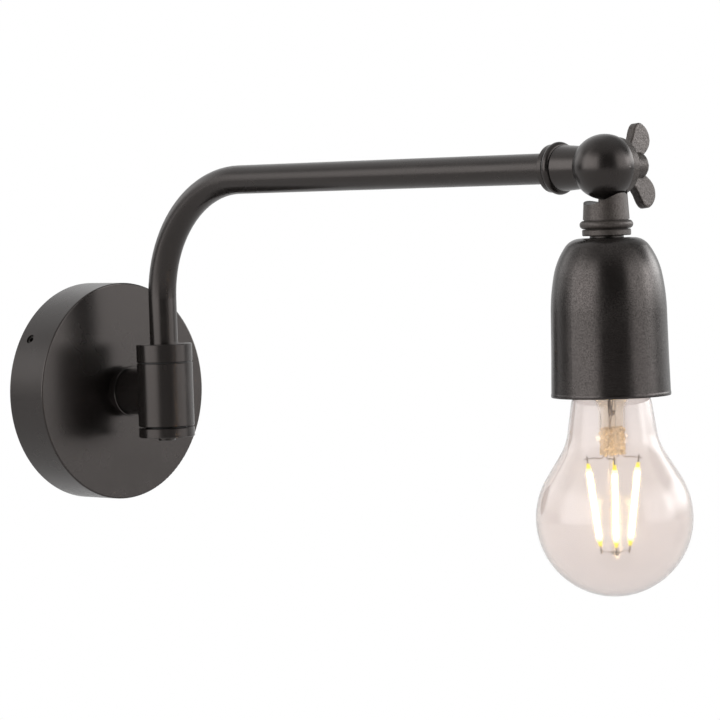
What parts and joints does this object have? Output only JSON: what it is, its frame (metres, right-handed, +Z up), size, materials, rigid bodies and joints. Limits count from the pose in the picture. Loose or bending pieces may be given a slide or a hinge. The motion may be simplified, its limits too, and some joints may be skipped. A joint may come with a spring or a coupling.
{
  "type": "wall lamp",
  "caption": "Articulating wall lamp: round rose, swinging bent arm, tilting knuckle with wing nut, and a bell-covered lampholder with a clear bulb.",
  "frame": {"origin": "centre of the wall rose's back, on the wall plane", "axes": "+Z up, +Y into the wall, +X to the right of someone facing the wall; the arm stands out along -Y at rest"},
  "size_m": [0.094, 0.3263, 0.1804],
  "materials": {
    "bronze_coat": "satin powder coat over steel and brass",
    "bronze_cast": "coated cast metal, fine grain",
    "bronze_spun": "satin coat over spun metal",
    "dark_steel": "blackened steel",
    "zinc_steel": "zinc-plated steel",
    "brass": "bare brass",
    "thrust_plastic": "black nylon",
    "terminal_plastic": "white polyamide",
    "porcelain": "glazed porcelain",
    "flex_sheath": "black flex sheath",
    "earth_insulation": "green and yellow lead",
    "core_insulation": "brown and blue cores",
    "clear_glass": "clear blown glass",
    "stem_glass": "pressed clear glass",
    "cap_metal": "nickel-plated cap",
    "cap_insulator": "black vitrite",
    "driver_board": "circuit board",
    "filament_glow": "lit phosphor coating",
    "nickel_wire": "drawn nickel wire"
  },
  "bodies": {
    "wall_base": {"rose_cover": "bronze_coat", "wall_plate": "zinc_steel", "rose_grub_screws": "dark_steel", "terminal_block": "terminal_plastic", "terminal_screws": "brass", "terminal_fixing_screw": "zinc_steel", "earth_screw": "brass", "earth_lead": "earth_insulation", "stem_ring": "bronze_coat", "stem": "bronze_coat", "stem_nipple": "zinc_steel", "stem_washer": "zinc_steel", "stem_nut": "zinc_steel", "barrel": "bronze_coat", "upper_bush": "brass", "lower_bush": "brass", "base_flex": "flex_sheath"},
    "arm": {"upper_thrust_washer": "thrust_plastic", "lower_thrust_washer": "thrust_plastic", "arm_collar": "bronze_coat", "pivot_shaft": "zinc_steel", "bottom_cap": "bronze_coat", "bottom_screw": "dark_steel", "arm_tube": "bronze_coat", "arm_end_ring": "bronze_coat", "knuckle_ball": "bronze_coat", "clamp_stud": "zinc_steel", "arm_flex": "flex_sheath"},
    "lamp_head": {"knuckle_eye": "bronze_cast", "head_lock_nut": "bronze_cast", "neck_spacer": "dark_steel", "head_nipple": "zinc_steel", "holder_cover": "bronze_spun", "holder_nuts": "zinc_steel", "lampholder_body": "porcelain", "lampholder_terminals": "brass", "lampholder_shell": "brass", "lampholder_contact": "brass", "holder_leads": "core_insulation", "head_flex": "flex_sheath", "bulb_glass": "clear_glass", "bulb_cap": "cap_metal", "bulb_cap_insulator": "cap_insulator", "bulb_contact": "cap_metal", "bulb_driver": "driver_board", "bulb_stem": "stem_glass", "bulb_filaments": "filament_glow", "bulb_wires": "nickel_wire"},
    "washer": {"spring_washer": "dark_steel"},
    "wing_nut": {"wing_nut": "bronze_cast"}
  },
  "joints": [
    {"name": "arm_swing", "type": "hinge", "parent": "wall_base", "child": "arm", "pos_m": [0, -0.0475, 0], "axis": [0, 0, 1], "range_deg": [-90, 90]},
    {"name": "head_tilt", "type": "hinge", "parent": "arm", "child": "lamp_head", "pos_m": [0, -0.2963, 0.09], "axis": [-1, 0, 0], "range_deg": [-10, 180]},
    {"name": "washer_slide", "type": "slide", "parent": "arm", "child": "washer", "axis": [1, 0, 0], "range_m": [0, 0.00161]},
    {"name": "wing_nut_turn", "type": "hinge", "parent": "washer", "child": "wing_nut", "pos_m": [0, -0.2963, 0.09], "axis": [1, 0, 0], "range_deg": [0, 720]}
  ],
  "couplings": [
    {"joint": "washer_slide", "follows": "wing_nut_turn", "m_per_rad": 0.00012732}
  ]
}
